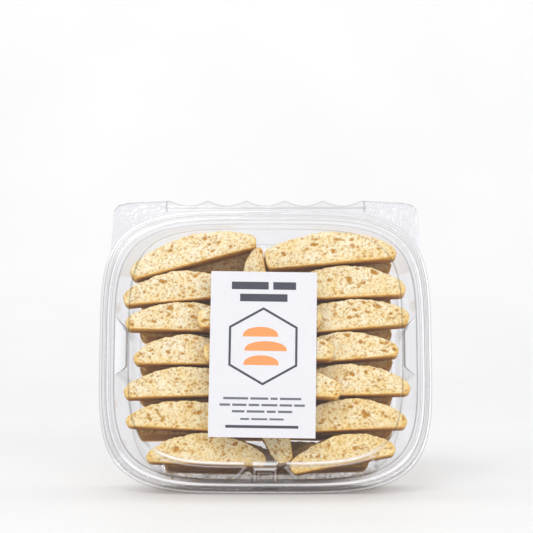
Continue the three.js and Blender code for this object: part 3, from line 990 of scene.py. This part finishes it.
EAR_HALF_WIDTH = 89.9
EAR_CORNER = (88.2, 165.0)
EAR_FOOT = 141.0
EAR_TOP = 170.9
EAR_DROP = 2.6
EAR_START = (57, 60)
EAR_SEAM = (57.5, 0.45)  # place and width of the painted shade line beside the ear
EAR_MILK = (0.03, 0.12)  # between and on the pebbles
SCALLOPS = 5
SCALLOP_PITCH = 22.3
SCALLOP_DIP = 3.0
FOLD = (166.6, 0.5)  # height and width of the folded line
FOLD_RISE = 0.6
BORDER_WIDTH = 0.35
# Painted shade along the strip's border, its fold and the seams beside the ears
BORDER_SHADE, FOLD_SHADE, SEAM_SHADE = 0.4, 0.25, 0.35
STRIP_MILK = 0.02
STRIP_TONE, EAR_TONE = 0.2, 0.5
STRIP_OVERLAP = 0.25
STRIP_ROWS = 19
STRIP_COLUMNS = 353
SIDE_COLUMNS = 6
PEBBLE_SIZE = 1.5
pebbles = Noise(31)


def strip_top(x):
    """Height of the hinge strip's upper edge at x."""
    reach = SCALLOPS * SCALLOP_PITCH / 2
    wave = EAR_TOP - SCALLOP_DIP * np.abs(np.sin(np.pi * (x + reach) / SCALLOP_PITCH))
    corner_x, corner_z = EAR_CORNER
    knots_x = (reach, corner_x - 3 * EAR_DROP, corner_x - EAR_DROP, corner_x, EAR_HALF_WIDTH)
    knots_z = (EAR_TOP, EAR_TOP - EAR_DROP / 2, EAR_TOP - EAR_DROP, corner_z, EAR_FOOT)
    return np.where(np.abs(x) < reach, wave, np.interp(np.abs(x), knots_x, knots_z))


def rim_top(x):
    share = 1 - np.clip(np.abs(x) / RIM_HALF[0], 0, 1) ** SQUARENESS
    return CENTRE_Z + RIM_HALF[1] * share ** (1 / SQUARENESS)


def strip_columns():
    """Places across the strip, closer together at the ears' outer edges."""
    corner = EAR_CORNER[0]
    side = np.linspace(corner, EAR_HALF_WIDTH, SIDE_COLUMNS)
    return np.concatenate([-side[::-1][:-1], np.linspace(-corner, corner, STRIP_COLUMNS), side[1:]])


def hinge_strip(name, depth, bulge):
    columns = strip_columns()
    rows = np.linspace(0, 1, STRIP_ROWS)
    x = columns[:, None] * np.ones_like(rows)
    low = rim_top(columns) - STRIP_OVERLAP
    high = np.maximum(strip_top(columns), low + 0.3)
    z = low[:, None] + (high - low)[:, None] * rows
    ear = smooth(*EAR_START, np.abs(x))
    bumps = np.abs(pebbles(x, z, 1.0, PEBBLE_SIZE))
    inner = smooth(0, 0.25, rows) * np.ones_like(x)
    fold = hump(z, *FOLD) * (1 - ear)
    y = depth + bulge * (ear * bumps * inner + FOLD_RISE * fold)
    border = hump(high[:, None] - z, 0, BORDER_WIDTH)
    seam = hump(np.abs(x), *EAR_SEAM) * smooth(0.1, 0.3, rows)
    points = np.stack([x, y, z], 2).reshape(-1, 3)
    faces = []
    for i in range(0, (len(columns) - 1) * STRIP_ROWS, STRIP_ROWS):
        faces += [(a, a + STRIP_ROWS, a + STRIP_ROWS + 1, a + 1) for a in range(i, i + STRIP_ROWS - 1)]
    looks = {
        # Painted shade along the border, fold and seams
        "bend": np.clip(BORDER_SHADE * border + FOLD_SHADE * fold + SEAM_SHADE * seam, 0, 1),
        "haze_and_highlight": STRIP_MILK + ear * (EAR_MILK[0] + EAR_MILK[1] * bumps),
        "dust_and_shade": np.zeros(len(points)),
        "tone": STRIP_TONE + EAR_TONE * ear,
    }
    return dress(mesh_object(name, to_row(points), faces, PLASTIC, looks), "clear_plastic")


hinge_strip("hinge_strip_lid", -0.7, -0.2)
hinge_strip("hinge_strip_tray", 0.3, 0.15)


# Label: the CAD sheet of paper, with a plain printed design of bars and biscuit shapes

label_materials = frame["nodes"]["label"].data.materials
label_materials.clear()
label_materials.append(PAPER)
CHARCOAL = ink_material("ink_charcoal", rgb(58, 60, 72))
GREY = ink_material("ink_grey", rgb(98, 100, 110))
ORANGE = ink_material("ink_orange", rgb(232, 146, 84))
INK_LIFT = 0.04


def ink(name, outline, material, sides=0):
    """A thin printed shape, from its outline in millimetres from the label's middle.

    With a number of sides it is a frame, and the outline's second half is its inner edge.
    """
    cos, sin = math.cos(math.radians(LABEL_TURN)), math.sin(math.radians(LABEL_TURN))
    middle_x, middle_z = LABEL_CENTRE
    y = LABEL_FACE_Y - INK_LIFT
    points = [(middle_x + x * cos - z * sin, y, middle_z + x * sin + z * cos) for x, z in outline]
    faces = [tuple(range(len(points)))]
    if sides:
        faces = [(i, (i + 1) % sides, sides + (i + 1) % sides, sides + i) for i in range(sides)]
    return dress(mesh_object(name, to_row(points), faces, material, flat=True), "label_paper")


def bar(name, x, z, width, height, material):
    corners = ((-0.5, -0.5), (0.5, -0.5), (0.5, 0.5), (-0.5, 0.5))
    return ink(name, [(x + a * width, z + b * height) for a, b in corners], material)


def half_moon(name, x, z, width, height, material):
    angles = np.linspace(0, math.pi, 25)
    arc = [(x + width / 2 * math.cos(a), z + height * math.sin(a) ** 0.8) for a in angles]
    return ink(name, arc, material)


def hexagon_frame(name, x, z, radius, thickness, material):
    angles = [math.radians(60 * i + 30) for i in range(6)]
    outline = []
    for reach in (radius, radius - thickness):
        outline += [(x + reach * math.cos(a), z + reach * math.sin(a)) for a in angles]
    return ink(name, outline, material, sides=6)


def words(name, z, widths, height, material, space):
    """A row of short bars, centred, as long as words would be."""
    total = sum(widths) + space * (len(widths) - 1)
    x = -total / 2
    for number, width in enumerate(widths):
        bar(f"{name}_{number + 1}", x + width / 2, z, width, height, material)
        x += width + space


words("print_title_1", 39.5, (21, 13), 4.4, CHARCOAL, 2.6)
words("print_title_2", 32.5, (27,), 4.4, CHARCOAL, 0)
hexagon_frame("print_frame", 0, 4.5, 22.5, 1.5, CHARCOAL)
for row, (width, shift) in enumerate(((20, -1.5), (24, 1.5), (20, -1))):
    half_moon(f"print_biscuit_{row + 1}", shift, 10 - 8.2 * row, width, 5.6, ORANGE)
words("print_line_1", -25.5, (14, 10, 4, 12), 1.3, GREY, 1.3)
words("print_line_2", -29.2, (6, 8, 6, 9, 7, 6), 1.3, GREY, 1.2)
words("print_line_3", -32.9, (7, 10, 5, 8), 1.3, GREY, 1.3)
words("print_line_4", -37.2, (5, 9, 8), 1.1, GREY, 1.2)
words("print_line_5", -41.5, (41,), 1.6, CHARCOAL, 0)


# Crumbs that have fallen to the bottom of the tray

CRUMBS = 150
CRUMB_X = (-58, 62)
CRUMB_Y = (-0.5, 34)
CRUMB_SIZE = (0.25, 0.75)  # the least, and how much larger the largest is
CRUMB_RAGGEDNESS = (0.6, 1.1)
WALL_HALF_WIDTH = 86
WALL_RISE = MOUTH_HALF[1] - FLOOR_HALF[1]  # of the lowest wall, towards the floor
WALL_ROUNDING = 0.238
CORNERS = np.array([(1, 0, 0), (-1, 0, 0), (0, 1, 0), (0, -1, 0), (0, 0, 1), (0, 0, -1)], float)
SIDES = ((0, 2, 4), (2, 1, 4), (1, 3, 4), (3, 0, 4), (2, 0, 5), (1, 2, 5), (3, 1, 5), (0, 3, 5))


def wall_height(x, y):
    """Height of the tray's lowest wall at x and y."""
    half = MOUTH_HALF[1] - WALL_RISE * max(y, 0) / BASE_DEPTH
    return CENTRE_Z - half * (1 - abs(x / WALL_HALF_WIDTH) ** SQUARENESS) ** WALL_ROUNDING


def crumbs():
    random = np.random.RandomState(77)
    least, more = CRUMB_SIZE
    points, faces = [], []
    for _ in range(CRUMBS):
        x = random.uniform(*CRUMB_X)
        y = random.uniform(*CRUMB_Y)
        size = least + more * random.uniform() ** 3
        middle = np.array([x, y, wall_height(x, y) + size * 0.6])
        start = len(points)
        for corner in CORNERS:
            points.append(middle + corner * size * random.uniform(*CRUMB_RAGGEDNESS))
        faces += [tuple(start + c for c in side) for side in SIDES]
    count = len(points)
    looks = {"pore": np.full(count, 0.15), "crust": random.uniform(0, 0.7, count), "toast": np.ones(count)}
    dress(mesh_object("crumbs", to_row(points), faces, BISCUIT, looks, flat=True), "biscuit")


crumbs()


# Studio: pale floor with a curved backdrop, soft lights and the photo's camera

STAGE_HALF_WIDTH = 3.0
STAGE_FRONT, STAGE_BACK = -2.5, 1.6
STAGE_HEIGHT = 2.5
CURVE_RADIUS = 0.8
CURVE_STEPS = 12


def backdrop():
    """A floor that curves up into a wall behind the pack."""
    bend_y = STAGE_BACK - CURVE_RADIUS
    line = [(STAGE_FRONT, 0), (bend_y, 0)]
    for i in range(1, CURVE_STEPS + 1):
        a = math.pi / 2 * i / CURVE_STEPS
        line.append((bend_y + CURVE_RADIUS * math.sin(a), CURVE_RADIUS - CURVE_RADIUS * math.cos(a)))
    line.append((STAGE_BACK, STAGE_HEIGHT))
    points = [(x, y, z) for y, z in line for x in (-STAGE_HALF_WIDTH, STAGE_HALF_WIDTH)]
    faces = [(i, i + 1, i + 3, i + 2) for i in range(0, len(points) - 2, 2)]
    pale = stage_material("pale_floor", rgb(238, 238, 239), rgb(243, 243, 243), 0.6)
    floor = mesh_object("floor", points, faces, pale)


backdrop()


def area_light(name, place, target, size, power):
    data = bpy.data.lights.new(name, "AREA")
    data.shape = "RECTANGLE"
    data.size, data.size_y = size
    data.energy = power
    light = bpy.data.objects.new(name, data)
    light.location = place
    light.rotation_euler = (Vector(target) - Vector(place)).to_track_quat("-Z", "Y").to_euler()
    bpy.context.scene.collection.objects.link(light)


PACK_MIDDLE = (0, 0, 0.08)
area_light("key", (-0.5, -1.3, 1.5), PACK_MIDDLE, (1.0, 0.8), 13.3)
area_light("fill", (0.8, -1.6, 0.75), PACK_MIDDLE, (1.0, 0.8), 7.5)
area_light("backdrop_light", (0, 0.7, 1.9), (0, 1.5, 0.3), (2.4, 0.5), 13.1)
area_light("low_strip", (0, -1.7, 0.26), PACK_MIDDLE, (1.6, 0.03), 4)
WORLD_STRENGTH = 0.52


def world():
    studio = bpy.data.worlds.new("studio")
    bpy.context.scene.world = studio
    studio.use_nodes = True
    background = studio.node_tree.nodes["Background"]
    background.inputs["Color"].default_value = (1, 1, 1, 1)
    background.inputs["Strength"].default_value = WORLD_STRENGTH


world()


def camera():
    """Stands in front, a little below the normal of the leaning face, as the photo was taken."""
    focal = CAMERA_DISTANCE / MM_PER_PIXEL
    middle = PHOTO_SIZE / 2
    across, down = PACK_CENTRE_PIXEL[0] - middle, PACK_CENTRE_PIXEL[1] - middle
    to_centre = np.array([across / focal, 1.0, -down / focal])
    to_centre /= np.linalg.norm(to_centre)
    rise = FACE_TILT + math.asin(-to_centre[2])
    forward = np.array([0, math.cos(rise), math.sin(rise)])
    up = np.array([0, -math.sin(rise), math.cos(rise)])
    right = np.array([1.0, 0, 0])
    centre = np.array([0, 0, AIM_Z])
    place = centre - CAMERA_DISTANCE * (right * to_centre[0] + forward * to_centre[1] + up * to_centre[2])
    data = bpy.data.cameras.new("camera")
    data.sensor_width = SENSOR
    data.lens = SENSOR * focal / PHOTO_SIZE
    data.clip_start = 0.05
    holder = bpy.data.objects.new("camera", data)
    location = to_row(place)
    ahead = to_row(place + forward) - location
    above = to_row(place + up) - location
    ahead /= np.linalg.norm(ahead)
    above /= np.linalg.norm(above)
    side = np.cross(ahead, above)
    rotation = Matrix((side, above, -ahead)).transposed()
    holder.matrix_world = Matrix.Translation(location) @ rotation.to_4x4()
    bpy.context.scene.collection.objects.link(holder)
    bpy.context.scene.camera = holder


camera()
bpy.context.scene.view_settings.view_transform = "Standard"
